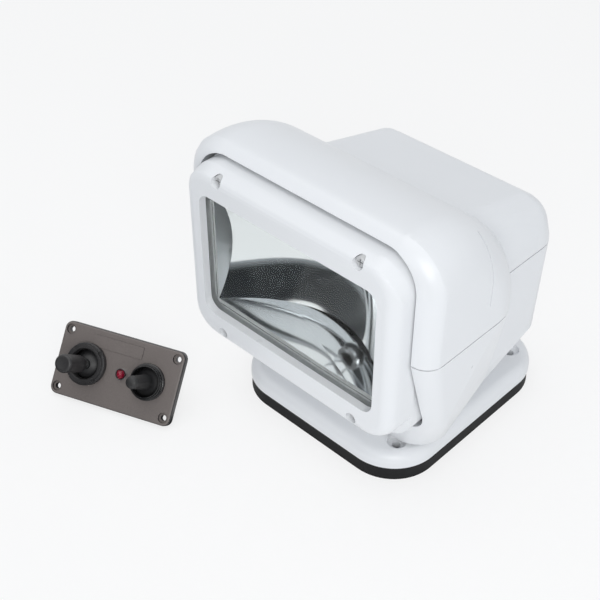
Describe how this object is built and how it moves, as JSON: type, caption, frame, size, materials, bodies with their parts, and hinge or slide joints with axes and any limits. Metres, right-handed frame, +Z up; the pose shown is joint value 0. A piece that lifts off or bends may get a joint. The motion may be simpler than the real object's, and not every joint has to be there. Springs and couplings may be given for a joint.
{
  "type": "marine searchlight",
  "caption": "Motorised searchlight on a flat deck base, with a turning turret, a tilting rectangular lamp head and a small wired panel with a joystick and a toggle.",
  "frame": {"origin": "centre of the deck screw pattern on the underside of the base gasket", "axes": "+Z up along the pan axis, -Y the way the lens faces at rest, +X to the right seen from behind the panel"},
  "size_m": [0.2545, 0.2512, 0.192],
  "materials": {
    "white_moulding": "satin white moulding",
    "gasket_rubber": "matt black",
    "black_rubber": "matt black",
    "black_plastic": "matt black",
    "gloss_black": "gloss black",
    "panel_face": "satin dark grey with a black edge",
    "steel": "satin",
    "chrome": "bright",
    "reflector_metal": "vacuum metallised",
    "brass": "turned",
    "nylon": "natural",
    "lens_glass": "clear",
    "bulb_glass": "clear",
    "ceramic": "matt",
    "board_green": "solder mask",
    "indicator_red": "clear red"
  },
  "bodies": {
    "base": {"base_gasket": "gasket_rubber", "base_plate": "white_moulding", "pan_spindle": "steel", "pan_ring_gear": "nylon", "pan_lock_nut": "brass", "panel_plate": "panel_face", "joystick_body": "black_plastic", "joystick_collar": "black_plastic", "toggle_body": "black_plastic", "toggle_ring": "gloss_black", "led_bezel": "chrome", "led_lens": "indicator_red"},
    "turret": {"lower_shell": "white_moulding", "upper_shell": "white_moulding", "shell_seal": "black_rubber", "shell_screws": "steel", "turret_seal": "black_rubber", "pan_bush": "brass", "pan_bracket": "steel", "pan_gearbox": "nylon", "pan_motor": "steel", "tilt_bracket": "steel", "tilt_gearbox": "nylon", "tilt_motor": "steel", "circuit_board": "board_green", "board_screws": "steel", "trunnion_bushes": "brass"},
    "pan_drive": {"pan_shaft": "steel", "pan_pinion": "brass"},
    "tilt_drive": {"tilt_shaft": "steel", "tilt_pinion": "brass"},
    "lamp": {"lamp_housing": "white_moulding", "trunnion_pins": "steel", "tilt_sector": "nylon", "bezel": "white_moulding", "bezel_screws": "steel", "lens": "lens_glass", "lens_seal": "black_rubber", "reflector": "reflector_metal", "bulb_glass": "bulb_glass", "bulb_base": "steel", "bulb_socket": "ceramic", "bulb_clip": "steel"},
    "gimbal": {"joystick_gimbal": "nylon"},
    "joystick": {"joystick_shaft": "steel", "joystick_boot": "black_rubber", "joystick_knob": "black_plastic"},
    "toggle": {"toggle_lever": "steel", "toggle_boot": "black_rubber"}
  },
  "joints": [
    {"name": "pan", "type": "hinge", "parent": "base", "child": "turret", "pos_m": [0, 0, 0.022], "axis": [0, 0, 1], "range_deg": [-185, 185]},
    {"name": "tilt", "type": "hinge", "parent": "turret", "child": "lamp", "pos_m": [0, -0.07, 0.118], "axis": [-1, 0, 0], "range_deg": [-45, 90]},
    {"name": "pan_pinion_turn", "type": "hinge", "parent": "turret", "child": "pan_drive", "pos_m": [0, 0.039, 0.044], "axis": [0, 0, 1], "range_deg": [-617, 617]},
    {"name": "tilt_pinion_turn", "type": "hinge", "parent": "turret", "child": "tilt_drive", "pos_m": [0, 0.008, 0.118], "axis": [-1, 0, 0], "range_deg": [-496, 248]},
    {"name": "joystick_rock", "type": "hinge", "parent": "base", "child": "gimbal", "pos_m": [-0.13707, -0.14068, 0.01587], "axis": [0.9304, 0.3665, 0], "range_deg": [-16, 16], "stiffness_Nm_per_rad": 0.15},
    {"name": "joystick_sway", "type": "hinge", "parent": "gimbal", "child": "joystick", "pos_m": [-0.13707, -0.14068, 0.01587], "axis": [-0.2404, 0.6104, 0.7547], "range_deg": [-16, 16], "stiffness_Nm_per_rad": 0.15},
    {"name": "toggle_throw", "type": "hinge", "parent": "base", "child": "toggle", "pos_m": [-0.09493, -0.1257, 0.01718], "axis": [0.9304, 0.3665, 0], "range_deg": [-12, 12]}
  ],
  "couplings": [
    {"joint": "pan_pinion_turn", "follows": "pan", "ratio": 3.3333},
    {"joint": "tilt_pinion_turn", "follows": "tilt", "ratio": -5.5}
  ]
}
